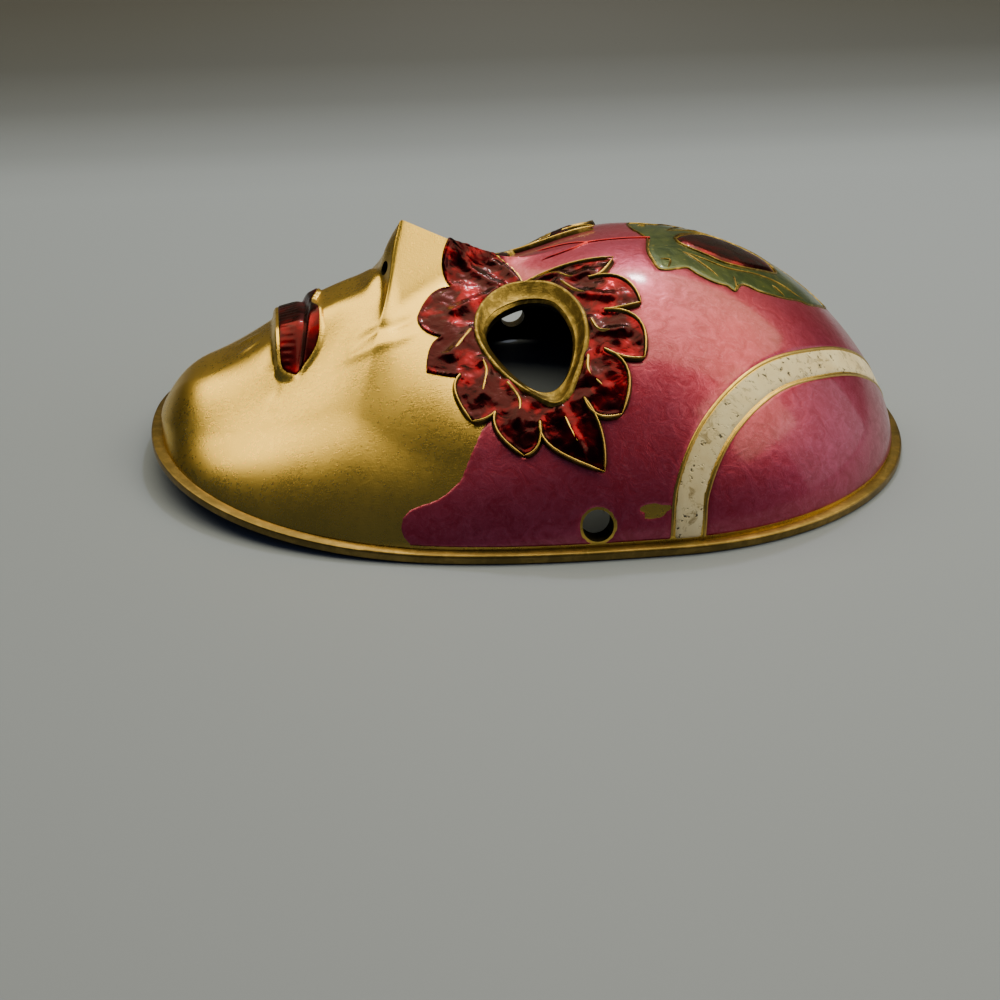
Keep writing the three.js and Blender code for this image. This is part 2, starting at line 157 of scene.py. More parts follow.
# Flat crown of the chin and the upper lip: half width, and how much of the slope across it goes.
# It starts at the chin's end and fades out towards the nose, sooner near the mid-plane.
CROWN_HALF_WIDTH = 6.0
CROWN_FLATNESS = 0.8
CROWN_ROUNDING = 0.5
CROWN_END = (-83, 12)
CROWN_FADE = (-31, -26)
CROWN_NEAR_FADE = (-30, -10)
CROWN_NEAR_WIDTH = 11.0

# Fine folds of the lower face: middle line as x and |y|, height, half width, fading ends' length
FOLDS_END_X = -20.0
FOLDS = (
    (((-41, 18.4), (-37.3, 17.9), (-32.6, 17.7), (-30, 16.9), (-25, 15.3)), -0.4, 1.2, 5),
    (((-44.5, 19), (-39.5, 20.8), (-35.3, 21.4), (-30.4, 21), (-25, 19.3)), 0.25, 1.0, 5),
    (((-56.8, 10), (-56.9, 15), (-57.3, 22)), -0.4, 1.6, 4),
    (((-66, 3.7), (-61.9, 2.5), (-58.5, 1.4)), 0.25, 0.7, 4),
)

# Eye: the chart's plane touches the face at the centre, s towards the forehead, t towards the nose
EYE_X = -3.3
EYE_Y = 27.2
EYE_FORWARD = np.array((0.968, -0.093, 0.232))
EYE_INWARD = np.array((0, 0.928, 0.373))
EYE_OUTWARD = np.cross(EYE_FORWARD, EYE_INWARD)
COLLAR_OUTLINE = (
    (-10.9, 5.5), (-8.6, 13.6), (-2.4, 18.9), (5.5, 16.9), (10.4, 8.8),
    (11.2, -0.5), (7.8, -10), (2.6, -16.8), (-3.2, -11.8), (-8.6, -3.2),
)
HOLE_OUTLINE = (
    (-9.2, 3.5), (-7, 10.8), (-0.6, 14), (5.6, 10.8),
    (8, 1), (5.8, -8), (1.5, -12.2), (-3.6, -8.2),
)
COLLAR_HEIGHT = 1.2
HOLE_DEPTH = 0.5

# Leaves of the rosette: notch before, belly, tip and back of each leaf
LEAVES = (
    ((0.6, 18.6), (-4, 29.4), (-13.2, 31.2), (-15.8, 25.1)),
    ((-14.7, 19.9), (-19, 18.2), (-22.7, 11.6), (-21.8, 7.8)),
    ((-18.5, 5.1), (-21, 2.5), (-22.5, -3.5), (-18.6, -5.3)),
    ((-15.9, -5.9), (-17.3, -10.2), (-15.1, -17.2), (-12.5, -17.1)),
    ((-10.3, -15.9), (-10.4, -20.6), (-6.4, -26), (-3.2, -24.5)),
    ((-1.9, -19.8), (-0.5, -25.6), (8.2, -31.1), (9.4, -23.9)),
    ((7.7, -16.9), (9.5, -20.9), (14.1, -21.4), (17.3, -13)),
    ((13.9, -6.7), (17.3, -9.5), (21.1, -10.3), (22, -1.1)),
    ((15.8, 3.6), (19.1, 3.2), (23.3, 3.7), (21, 11.9)),
    ((14.3, 14.5), (17.3, 15.4), (20.3, 20), (9.4, 20.8)),
)
WALLED_LEAVES = range(3, 10)
LEAF_HEIGHT = 0.8
LEAF_EDGE = 0.7
LEAF_DEPTH = 0.6

# Brass ribs of the leaves, and the fainter ribs under the enamel, in the eye's chart
LEAF_RIBS = (
    ((-11.8, 6.6), (-13.8, 3.8), (-16.9, -0.5)),
    ((-10.8, -1.7), (-10.4, -5.3), (-12, -10.9)),
    ((-6.9, -8.1), (-5, -13.7), (-6, -18.4)),
    ((2.8, -18.2), (3.7, -22.8), (4.8, -26.6)),
    ((10.5, -6.6), (9.8, -11.1), (12, -15.5)),
    ((12.6, 2.4), (14, -1.6), (18.6, -3)),
    ((8.1, 16.6), (11.6, 11.1), (17.4, 7.2)),
    ((1.9, 19.3), (7.4, 19.3), (10.7, 16.5), (14.3, 16.6)),
)
COVERED_RIBS = (
    ((-5.7, 17.6), (-10.9, 14.2), (-14.9, 11.9)),
    ((-4.8, 19.1), (-8.9, 23.3), (-11, 26.8)),
    ((-0.1, 20.5), (-2.8, 24.7), (-4.9, 27.3)),
)

# Edge of the pink enamel on the cheek: x against height, then hidden below the rosette
CHEEK_EDGE_Z = (2.8, 4.1, 5.5, 7.2, 8.6, 9.5, 10.3, 11.6, 13.7, 17.5, 21, 25, 40)
CHEEK_EDGE_X = (-32.4, -33.6, -34, -33.5, -31.9, -29.5, -26.9, -24.5, -21.7, -19.3, -16.8, -12, -9)

# Cream band, from the rim up over the forehead: x and |y| of its middle line
BAND_LINE = (
    (22.5, 59.9), (23.8, 56.6), (30, 50), (41.8, 41), (56, 31.9),
    (67, 23), (74, 15.8), (80, 8), (82, 2),
)
BAND_HALF_WIDTH = 2.9

# Green ornament on the forehead: x and |y|, from the stem round to the tip
ORNAMENT_EDGE = (
    (26, 0), (24.3, 7.6), (24.5, 12.8), (25.1, 15.7), (26.9, 16.1), (29.5, 15.3), (31.5, 15),
    (33.2, 17.2), (36.2, 19.3), (38.9, 19.7), (40.3, 21), (42.8, 17.7), (46.1, 18.4),
    (49.9, 17.8), (53.3, 16.5), (56.6, 14.3), (60.4, 12.2), (67, 3.7), (68, 0),
)
BUD_EDGE = (
    (32.5, 0), (32.5, 1.5), (34.3, 4.5), (37.8, 7.6), (40.9, 9.7),
    (46.1, 9.2), (51.5, 6.4), (54.8, 3.6), (55.5, 0),
)
ORNAMENT_RIBS = (
    ((31.9, 6.9), (35.8, 9.8), (40.9, 12.3), (47.9, 10.9), (52.9, 10.5), (56.7, 11.6), (59.8, 11.5)),
    ((31.9, 6.9), (34.4, 11.1), (37.1, 15.7), (37.8, 17.3)),
    ((41.5, 15.2), (41.3, 17.3), (41.1, 19.4)),
    ((50.9, 13.1), (51.9, 14.6), (53, 16.1)),
    ((26, 11.5), (28.2, 12.1), (27, 15.4)),
)

# Stem on the forehead: along the mid-plane, then forked towards the eyes
STEM_LINE = ((26.5, 0), (19.5, 0), (12.6, 0))
STEM_FORK = ((12.6, 0), (9.1, 1.7), (6.1, 2.4), (3.3, 2.8), (1.7, 3.2))

# Raised lines: width and height
LEAF_WALL = (1.15, 1.15)
LEAF_CREST = (0.45, 0.22)
LEAF_RIB = (0.95, 0.6)
BAND_BORDER = (0.8, 0.3)
ORNAMENT_BORDER = (0.6, 0.35)
BUD_BORDER = (0.55, 0.4)
ORNAMENT_RIB = (0.6, 0.4)
STEM = (0.7, 0.45)

# Holes and bare spots
TEMPLE_HOLE = {"x": 4.4, "y": 59.0, "z": 6.1, "radius": 3.1, "length": 14}
BARE_SPOT = {"x": 15.8, "y": 58.3, "z": 8.4, "along": 2.4, "up": 1.2}

# Enamel layers: height above the brass, depth of their hidden underside, width and depth of the
# thin edge. Those of the crown start at an x, keep off the holes beyond SIDE_Y, and leave gaps.
ENAMEL_HEIGHT = 0.14
ENAMEL_DEPTH = 0.5
ENAMEL_EDGE = 0.45
ENAMEL_EDGE_DEPTH = 0.08
BUD_HEIGHT = 0.5
BUD_SHOULDER = 1.6
CROWN_ENAMEL_FROM_X = -38
SIDE_Y = 45
GAPS = {"rim": 0.45, "temple": 0.35, "ornament": 0.2, "bud": 0.3, "collar": 0.3}

# Meshes: places where sections are crowded, as x, spread and extra share; the angle in degrees
# past which an edge is sharp; how deep below the face the inside starts
CROWDED = ((-31, 6, 1.5), (-51, 7, 1.2))
SHARP_ANGLE = 40
SKIN_DEPTH = 1.6

# Stage: grey of the floor, and the painted shade that darkens the backdrop upwards over its shaded height
FLOOR_GREY = (0.235, 0.28, 0.4)
BACKDROP_PAINTED_SHADE = ((0.0, 0.97), (0.02, 0.66), (0.06, 0.33), (0.11, 0.16), (0.2, 0.08), (1.0, 0.05))
PAINTED_SHADE_HEIGHT = 200

# Lights: colour of the warm ones, and colour and strength of the world around them
WARM = (1, 0.87, 0.5)
WORLD_COLOUR = (0.75, 0.92, 1.25, 1)
WORLD_STRENGTH = 0.07

# Camera of the photograph: its place, and in degrees how far it looks down and turns to +X
CAMERA_PLACE = (-50.4, -310.8, 148.5)
CAMERA_DOWN = 28
CAMERA_TURN = 8
CAMERA_LENS = 54
CAMERA_SENSOR = 36


def mix(a, b, share):
    return a + (b - a) * share


def smooth_step(t):
    t = np.clip(t, 0, 1)
    return t * t * (3 - 2 * t)


def eased(value, pair):
    """Rises smoothly from 0 at the pair's start to 1 over its length, which may be negative."""
    start, length = pair
    return smooth_step((value - start) / length)


def soft_max(a, b, rounding):
    return (a + b + np.hypot(a - b, rounding)) / 2


def soft_min(a, b, rounding):
    return (a + b - np.hypot(a - b, rounding)) / 2


def unit(vectors):
    return vectors / np.maximum(1e-12, np.linalg.norm(vectors, axis=-1, keepdims=True))


def reach(x, margin=0.0):
    """How far x lies from the widest section, 0 there and 1 at the chin or the top."""
    towards_chin = (WIDEST_X - x) / (CHIN_LENGTH + margin)
    return np.where(x > WIDEST_X, (x - WIDEST_X) / (TOP_LENGTH + margin), towards_chin)


def half_width_at(x, margin=0.0):
    power = np.where(x > WIDEST_X, OUTLINE_TOP, OUTLINE_CHIN)
    left = np.maximum(0, 1 - reach(x, margin) ** power)
    return (HALF_WIDTH + margin) * left ** (1 / OUTLINE_ACROSS)


def share_across(x, y):
    """0 at the mid-plane, 1 at the edge of the face."""
    return np.minimum(1, np.abs(y) / np.maximum(1e-4, half_width_at(x)))


def rim_lift(x):
    span = LENGTH / 2 + CHIN_LIFT_FROM
    return CHIN_LIFT * np.clip((CHIN_LIFT_FROM - x) / span, 0, 1) ** 2


def nose_height(x, y, edge_rounding=NOSE_EDGE_ROUNDING):
    rise = np.minimum((BRIDGE_X - x) / (BRIDGE_X - TIP_X), RIDGE_END)
    ridge = BRIDGE_Z + (TIP_Z - BRIDGE_Z) * np.sign(rise) * np.abs(rise) ** RIDGE_CURVE
    flank = ridge - FLANK_SLOPE * np.abs(y)
    septum = SEPTUM_RISE * np.exp(-((y / SEPTUM_HALF_WIDTH) ** 2)) * eased(x, SEPTUM_RUN)
    underside = TIP_Z + BASE_SLOPE * (x - TIP_X) + septum
    return soft_min(flank, underside, edge_rounding)


def lip_edges(y):
    """x of the lower edge, the parting and the upper edge of the lips, and the share to the corner."""
    across = np.minimum(1, np.abs(y) / MOUTH_HALF_WIDTH)
    lower = mix(MOUTH_LOWER_X, MOUTH_CORNER_X, across**LOWER_EDGE_CURVE)
    dip = MOUTH_BOW_DIP * np.exp(-((y / MOUTH_BOW_HALF_WIDTH) ** 2))
    upper = mix(MOUTH_UPPER_X, MOUTH_CORNER_X, across**UPPER_EDGE_CURVE) - dip
    parting = mix(MOUTH_PARTING_X, MOUTH_CORNER_X, across**PARTING_CURVE)
    return lower, parting, upper, across


def lip_height(x, y):
    """The lower lip stands highest at its edge and slopes in to the parting; the upper lip is low."""
    lower, parting, upper, across = lip_edges(y)
    band = smooth_step((x - lower) / LIP_SHOULDER) * smooth_step((upper - x) / LIP_SHOULDER)
    slope = np.clip((parting - x) / np.maximum(0.5, parting - lower), 0, 1)
    rise = UPPER_LIP_HEIGHT * smooth_step((x - parting) / UPPER_LIP_SHOULDER)
    groove = PARTING_DEPTH * np.exp(-(((x - parting) / PARTING_HALF_WIDTH) ** 2))
    return band * (LOWER_LIP_HEIGHT * slope + rise - groove * band) * (1 - across**LIP_CORNER_FADE)


def off_crown(x, y):
    """|y|, drawn in towards the mid-plane so that the chin and the upper lip have a flat crown."""
    away = np.abs(y)
    near = np.exp(-((away / CROWN_NEAR_WIDTH) ** 2))
    width = CROWN_HALF_WIDTH * eased(x, CROWN_END)
    width = width * mix(eased(x, CROWN_FADE), eased(x, CROWN_NEAR_FADE), near)
    drawn = CROWN_FLATNESS * soft_min(away, width, CROWN_ROUNDING) * (1 - share_across(x, away))
    return np.maximum(0, away - np.maximum(0, drawn))


def dome_height(x, y):
    y = off_crown(x, y)
    above = x > WIDEST_X
    outline, power = (np.where(above, top, chin) for top, chin in zip(CREST_TOP, CREST_CHIN))
    height = DOME_HEIGHT * np.maximum(0, 1 - reach(x) ** outline) ** power
    blend = eased(x, SECTION_BLEND)
    roundness, fullness = (mix(chin, top, blend) for chin, top in zip(SECTION_CHIN, SECTION_TOP))
    across = share_across(x, y)
    z = RIM_THICKNESS + rim_lift(x) + height * np.maximum(0, 1 - across**roundness) ** fullness
    steepness = mix(FORMS_FADE_CHIN, FORMS_FADE_TOP, eased(x, FORMS_FADE_BLEND))
    edge_fade = smooth_step((1 - across) * steepness)
    for form_x, form_y, along_x, along_y, form_height in FORMS:
        spread = ((x - form_x) / along_x) ** 2 + ((np.abs(y) - form_y) / along_y) ** 2
        z = z + form_height * np.exp(-spread) * edge_fade
    return z


def face_height(x, y):
    at_base = eased(x, BASE_FOOT_ALONG) * eased(np.abs(y), BASE_FOOT_ACROSS)
    rounding = mix(NOSE_FOOT_ROUNDING, BASE_FOOT_ROUNDING, at_base)
    return soft_max(dome_height(x, y), nose_height(x, y), rounding)


def hollow_height(x, y):
    """Height of the hollow behind the face: the face drawn in by the wall, with a plainer nose."""
    length = np.where(x > WIDEST_X, TOP_LENGTH, CHIN_LENGTH)
    outer_x = WIDEST_X + (x - WIDEST_X) * length / (length - WALL)
    outer_y = y * HALF_WIDTH / (HALF_WIDTH - WALL)
    nose = nose_height(x, y, NOSE_HOLLOW_ROUNDING) - NOSE_HOLLOW_INSET
    return soft_max(dome_height(outer_x, outer_y), nose, NOSE_FOOT_ROUNDING) - WALL


def fold_height(x, y):
    """Height of the fine folds, which fade out at their ends."""
    flat = np.stack((x, np.abs(y)), axis=-1)
    total = np.zeros(np.shape(x))
    for line, height, half_width, taper in FOLDS:
        curve = curve_through(line, 4)
        away = segment_distance(flat, curve[:-1], curve[1:])
        ends = np.minimum(np.linalg.norm(flat - curve[0], axis=-1), np.linalg.norm(flat - curve[-1], axis=-1))
        total = total + height * np.exp(-((away / half_width) ** 2)) * smooth_step(ends / taper)
    return total


def same_shape(*values):
    return np.broadcast_arrays(*(np.asarray(value, float) for value in values))


def outer_height(x, y):
    x, y = same_shape(x, y)
    z = np.array(face_height(x, y) + lip_height(x, y))
    folded = x < FOLDS_END_X
    z[folded] += fold_height(x[folded], y[folded])
    return np.maximum(RIM_THICKNESS + rim_lift(x), z)


def on_dome(x, y):
    """Points of the outer surface over (x, y)."""
    x, y = same_shape(x, y)
    return np.stack((x, y, outer_height(x, y)), axis=-1)


def dome_path(line, per_span=8):
    """Smooth line over the mask's right side, from x and |y|."""
    x, y = curve_through(line, per_span).T
    return on_dome(x, -y)


def surface_normals(points):
    """Normals of the outer surface at the points, from its slope."""
    step = 0.05
    x, y = points[..., 0], points[..., 1]
    slope_x = (outer_height(x + step, y) - outer_height(x - step, y)) / (2 * step)
    slope_y = (outer_height(x, y + step) - outer_height(x, y - step)) / (2 * step)
    return unit(np.stack((-slope_x, -slope_y, np.ones_like(slope_x)), axis=-1))


EYE_CENTRE = np.array((EYE_X, -EYE_Y, float(face_height(np.array(EYE_X), np.array(EYE_Y)))))


def on_eye(s, t, height=0.0):
    """Points of the face under (s, t) of the right eye's chart, raised square to the chart."""
    s, t, height = same_shape(s, t, height)
    points = EYE_CENTRE + s[..., None] * EYE_FORWARD + t[..., None] * EYE_INWARD
    steps, step_share = 24, 0.6
    for _ in range(steps):
        miss = face_height(points[..., 0], points[..., 1]) - points[..., 2]
        points = points + step_share * miss[..., None] * EYE_OUTWARD
    return points + height[..., None] * EYE_OUTWARD


def on_right(points):
    """Points of either side, brought to the mask's right side, where y is negative."""
    return np.stack((points[..., 0], -np.abs(points[..., 1]), points[..., 2]), axis=-1)


def eye_chart(points):
    """(s, t) of the nearer eye's chart for points on either side of the mask."""
    from_centre = on_right(points) - EYE_CENTRE
    return from_centre @ EYE_FORWARD, from_centre @ EYE_INWARD


def curve_through(points, per_span=8, closed=False):
    """Smooth curve through the points (Catmull-Rom)."""
    points = np.asarray(points, float)
    if closed:
        points = np.concatenate((points[-1:], points, points[:2]))
    else:
        points = np.concatenate((2 * points[:1] - points[1:2], points, 2 * points[-1:] - points[-2:-1]))
    share = np.linspace(0, 1, per_span, endpoint=False)[:, None]
    spans = []
    for a, b, c, d in zip(points, points[1:], points[2:], points[3:]):
        bend = (2 * a - 5 * b + 4 * c - d) * share**2
        spans.append(0.5 * (2 * b + (c - a) * share + bend + (3 * b - a - 3 * c + d) * share**3))
    curve = np.concatenate(spans)
    return curve if closed else np.concatenate((curve, points[-2:-1]))


def bow(start, middle, end):
    """Curve from start to end through the middle point."""
    start, middle, end = (np.asarray(point, float) for point in (start, middle, end))
    control = 2 * middle - (start + end) / 2
    share = np.linspace(0, 1, 11)[:, None]
    return (1 - share) ** 2 * start + 2 * share * (1 - share) * control + share**2 * end


def leaf_flanks(number):
    """The two edges of a leaf: up to its tip, and down to the next notch."""
    notch, belly, tip, back = LEAVES[number]
    following = LEAVES[(number + 1) % len(LEAVES)][0]
    return bow(notch, belly, tip), bow(tip, back, following)


def rosette_outline():
    return np.concatenate([flank[:-1] for number in range(len(LEAVES)) for flank in leaf_flanks(number)])


def radius_towards(outline, angles):
    """Radius of a closed outline about the chart's centre, in the given directions."""
    curve = curve_through(outline, 24, closed=True)
    around = np.arctan2(curve[:, 1], curve[:, 0])
    order = np.argsort(around)
    around, radius = around[order], np.hypot(curve[:, 0], curve[:, 1])[order]
    turned = np.angle(np.exp(1j * np.asarray(angles)))
    return np.interp(turned, around, radius, period=2 * math.pi)


def segment_distance(points, starts, ends):
    """Distance of each point from the nearest of the segments, in any number of dimensions."""
    nearest = np.full(points.shape[:-1], np.inf)
    for start, end in zip(starts, ends):
        along = end - start
        share = np.clip((points - start) @ along / max(1e-12, along @ along), 0, 1)
        gap = np.linalg.norm(points - start - share[..., None] * along, axis=-1)
        nearest = np.minimum(nearest, gap)
    return nearest


def inside_distance(points, outline):
    """Distance from a closed flat outline, positive inside it."""
    starts, ends = outline, np.roll(outline, -1, axis=0)
    inside = np.zeros(points.shape[:-1], bool)
    x, y = points[..., 0], points[..., 1]
    for (x0, y0), (x1, y1) in zip(starts, ends):
        crosses = (y0 > y) != (y1 > y)
        inside ^= crosses & (x < (x1 - x0) * (y - y0) / (y1 - y0 if y1 != y0 else 1e-12) + x0)
    return np.where(inside, 1, -1) * segment_distance(points, starts, ends)


def grid_triangles(rows, columns, close_rows=False, close_columns=False):
    """Triangles over a grid of points, optionally joined back to its first row or column."""
    i = np.arange(rows if close_rows else rows - 1)[:, None]
    j = np.arange(columns if close_columns else columns - 1)[None, :]
    a = i * columns + j
    below, beside = (i + 1) % rows * columns, (j + 1) % columns
    b, c, d = below + j, below + beside, i * columns + beside
    a, b, c, d = (part.ravel() for part in np.broadcast_arrays(a, b, c, d))
    return np.concatenate((np.stack((a, b, c), 1), np.stack((a, c, d), 1)))


def weld(points, faces):
    """Joins points that coincide and drops faces without area. A row may hold more than a point."""
    keys = np.round(points[:, :3] * 1e4).astype(np.int64)
    _, first, back = np.unique(keys, axis=0, return_index=True, return_inverse=True)
    faces = back.ravel()[faces]
    a, b, c = faces.T
    return points[first], faces[(a != b) & (b != c) & (c != a)]


def closed_mesh(points, faces):
    """Welds a closed mesh and turns its faces out."""
    points, faces = weld(points, faces)
    a, b, c = (points[faces[:, k]] for k in range(3))
    volume = np.einsum("ij,ij->i", a, np.cross(b, c)).sum()
    return points, faces if volume > 0 else faces[:, ::-1]


def loft(sections, close_rows=False):
    """Closed mesh through closed sections of equal length, its ends capped unless it closes on itself."""
    sections = np.asarray(sections)
    rows, columns = sections.shape[:2]
    points = sections.reshape(-1, 3)
    faces = [grid_triangles(rows, columns, close_rows, True)]
    if not close_rows:
        middles = np.stack((sections[0].mean(0), sections[-1].mean(0)))
        j = np.arange(columns)
        following = (j + 1) % columns
        last = (rows - 1) * columns
        faces.append(np.stack((np.full(columns, len(points)), j, following), 1))
        faces.append(np.stack((np.full(columns, len(points) + 1), last + following, last + j), 1))
        points = np.concatenate((points, middles))
    return closed_mesh(points, np.concatenate(faces))


def rim_edges(faces):
    """Directed edges that belong to one triangle only."""
    edges = np.concatenate((faces[:, (0, 1)], faces[:, (1, 2)], faces[:, (2, 0)]))
    _, index, count = np.unique(np.sort(edges, axis=1), axis=0, return_index=True, return_counts=True)
    return edges[index[count == 1]]


def between(top, bottom, faces):
    """Closed mesh between two layers that share their faces."""
    count = len(top)
    a, b = rim_edges(faces).T
    walls = np.concatenate((np.stack((a, a + count, b + count), 1), np.stack((a, b + count, b), 1)))
    faces = np.concatenate((faces, faces[:, ::-1] + count, walls))
    return closed_mesh(np.concatenate((top, bottom)), faces)


def clip(fields, faces, value):
    """Keeps the part of a surface where the value is positive. fields has one row for each point."""
    fields = np.concatenate((fields, value[:, None]), axis=1)
    keep = value[faces] > 0
    count = keep.sum(1)
    kept = [faces[count == 3]]
    created = [fields]

    def crossing(inner, outer):
        share = value[inner] / (value[inner] - value[outer])
        start = sum(len(part) for part in created)
        created.append(mix(fields[inner], fields[outer], share[:, None]))
        return np.arange(start, start + len(inner))

    for wanted, pick in ((1, keep), (2, ~keep)):
        some = faces[count == wanted]
        first = pick[count == wanted].argmax(1)
        a, b, c = (some[np.arange(len(some)), (first + turn) % 3] for turn in range(3))
        if wanted == 1:
            kept.append(np.stack((a, crossing(a, b), crossing(a, c)), 1))
        else:
            near_b, near_c = crossing(b, a), crossing(c, a)
            kept.append(np.stack((near_b, b, c), 1))
            kept.append(np.stack((near_b, c, near_c), 1))
    fields, faces = weld(np.concatenate(created), np.concatenate(kept))
    used, back = np.unique(faces, return_inverse=True)
    return fields[used], back.reshape(faces.shape)


def enamel_layer(grid, value, height, depth=ENAMEL_DEPTH):
    """Thin closed layer over a grid of surface points, where the value is positive.

    height turns the clipped value and points into the layer's height above the surface.
    """
    normals = unit(np.cross(np.gradient(grid, axis=0), np.gradient(grid, axis=1)))
    normals = normals * np.sign(normals[..., 2:3].mean())
    fields = np.concatenate((grid, normals), axis=-1).reshape(-1, 6)
    fields, faces = clip(fields, grid_triangles(*grid.shape[:2]), value.ravel())
    points, normals, inside = fields[:, :3], unit(fields[:, 3:6]), fields[:, 6]
    top = points + normals * height(inside, points)[:, None]
    return between(top, points - depth * normals, faces)


def joined(*parts):
    """Several meshes as one."""
    starts = np.cumsum([0] + [len(points) for points, _ in parts])
    faces = [part_faces + start for (_, part_faces), start in zip(parts, starts)]
    return np.concatenate([points for points, _ in parts]), np.concatenate(faces)


def mirrored(part):
    points, faces = part
    return points * np.array((1, -1, 1)), faces[:, ::-1]


def both_sides(part):
    return joined(part, mirrored(part))


def ridge(path, width, height, taper, sink=0.4):
    """Rounded ridge along a path of surface points. taper gives the share over which each end thins."""
    path = np.asarray(path)
    steps = np.linalg.norm(np.diff(path, axis=0), axis=1)
    travelled = np.concatenate(((0,), np.cumsum(steps))) / steps.sum()
    tangents = unit(np.gradient(path, axis=0))
    normals = surface_normals(path)
    sides = unit(np.cross(normals, tangents))
    size = np.ones(len(path))
    for end, share in ((travelled, taper[0]), (1 - travelled, taper[1])):
        if share > 0:
            near = np.clip(end / share, 0, 1)
            size = np.minimum(size, np.sqrt(near * (2 - near)))
    size = np.maximum(size, 0.12)
    across = np.cos(np.linspace(math.pi, 0, 9))
    bulge = (1 - across**2) ** 0.8
    sections = []
    for point, normal, side, scale in zip(path, normals, sides, size):
        top = point + np.outer(across * width / 2 * scale, side) + np.outer(bulge * height * scale, normal)
        foot = point + np.outer((width / 2 * scale, -width / 2 * scale), side) - sink * normal
        sections.append(np.concatenate((top, foot)))
    return loft(sections)


def value_noise(points, cell, seed):
    """Smooth noise between -1 and 1 over flat points, about one bump to a cell."""
    table = np.random.default_rng(seed).uniform(-1, 1, (64, 64))
    place = np.asarray(points) / cell
    base = np.floor(place).astype(int)
    share = smooth_step(place - base)
    corner = lambda i, j: table[(base[..., 0] + i) % 64, (base[..., 1] + j) % 64]
    near = mix(corner(0, 0), corner(1, 0), share[..., 0])
    far = mix(corner(0, 1), corner(1, 1), share[..., 0])
    return mix(near, far, share[..., 1])


def smooth(mesh):
    mesh.polygons.foreach_set("use_smooth", np.ones(len(mesh.polygons), bool))
    mesh.set_sharp_from_angle(angle=math.radians(SHARP_ANGLE))


def add_object(name, part, materials):
    """Blender object from a mesh in millimetres, smooth but for its sharp edges."""
    points, faces = part
    mesh = bpy.data.meshes.new(name)
    mesh.vertices.add(len(points))
    mesh.vertices.foreach_set("co", (points * MM).astype(np.float32).ravel())
    mesh.loops.add(faces.size)
    mesh.loops.foreach_set("vertex_index", faces.astype(np.int32).ravel())
    mesh.polygons.add(len(faces))
    mesh.polygons.foreach_set("loop_start", np.arange(0, faces.size, 3, dtype=np.int32))
    mesh.update(calc_edges=True)
    smooth(mesh)
    for material in materials:
        mesh.materials.append(material)
    piece = bpy.data.objects.new(name, mesh)
    bpy.context.scene.collection.objects.link(piece)
    return piece


def add_piece(name, part, material):
    piece = add_object(name, part, [material])
    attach(piece, "root")


def carve(piece, tool, operation):
    """Joins a tool to the piece, or cuts it away, and deletes the tool."""
    modifier = piece.modifiers.new("carve", "BOOLEAN")
    modifier.object = tool
    modifier.operation = operation
    modifier.solver = "MANIFOLD"
    shape = bpy.data.meshes.new_from_object(piece.evaluated_get(bpy.context.evaluated_depsgraph_get()))
    piece.modifiers.clear()
    old, piece.data = piece.data, shape
    bpy.data.meshes.remove(old)
    bpy.data.objects.remove(tool)


# Body


def spaced(places, weight, count):
    """Splits the range of the places into count spans, shorter where the weight is larger."""
    travelled = np.concatenate(((0,), np.cumsum((weight[1:] + weight[:-1]) / 2)))
    return np.interp(np.linspace(0, travelled[-1], count + 1), travelled, places)


def stations(count, margin=0.0):
    """Places along the mask, close together at both ends and at the crowded places."""
    start = WIDEST_X - CHIN_LENGTH - margin
    end = WIDEST_X + TOP_LENGTH + margin
    turn = np.linspace(0, math.pi, 4001)
    x = (start + end) / 2 - (end - start) / 2 * np.cos(turn)
    weight = np.ones_like(x)
    for place, spread, extra in CROWDED:
        weight += extra * np.exp(-(((x - place) / spread) ** 2))
    return spaced(x, weight, count)


def column_share(count):
    """Places across the mask from -1 to 1, closer together at the mid-plane and at the rim."""
    across = np.sin(np.linspace(-math.pi / 2, math.pi / 2, 4001))
    return spaced(across, 1 + 0.9 * np.exp(-((across / 0.35) ** 2)), count)


def block(rows, columns, margin, upper, lower):
    """Closed mesh between two heights over the face, both given as functions of x and y."""
    x = stations(rows, margin)[:, None]
    y = column_share(columns)[None, :] * half_width_at(x, margin)
    x = np.broadcast_to(x, y.shape)
    layers = [np.stack((x, y, np.broadcast_to(height(x, y), x.shape)), axis=-1) for height in (upper, lower)]
    return between(layers[0].reshape(-1, 3), layers[1].reshape(-1, 3), grid_triangles(*x.shape))


def rim_part():
    """Flat rim with lightly rounded edges."""
    levels = (
        (RIM_WIDTH - RIM_BEVEL, 0),
        (RIM_WIDTH, RIM_BEVEL),
        (RIM_WIDTH, RIM_THICKNESS - 1.4 * RIM_BEVEL),
        (RIM_WIDTH - 0.4 * RIM_BEVEL, RIM_THICKNESS - 0.5 * RIM_BEVEL),
        (RIM_WIDTH - 1.4 * RIM_BEVEL, RIM_THICKNESS),
    )
    columns = []
    for side, order in ((-1, levels), (1, levels[::-1])):
        for margin, height in order:
            x = stations(220, margin)
            y = side * half_width_at(x, margin)
            columns.append(np.stack((x, y, rim_lift(x) + height), axis=-1))
    return loft(np.stack(columns, axis=1))


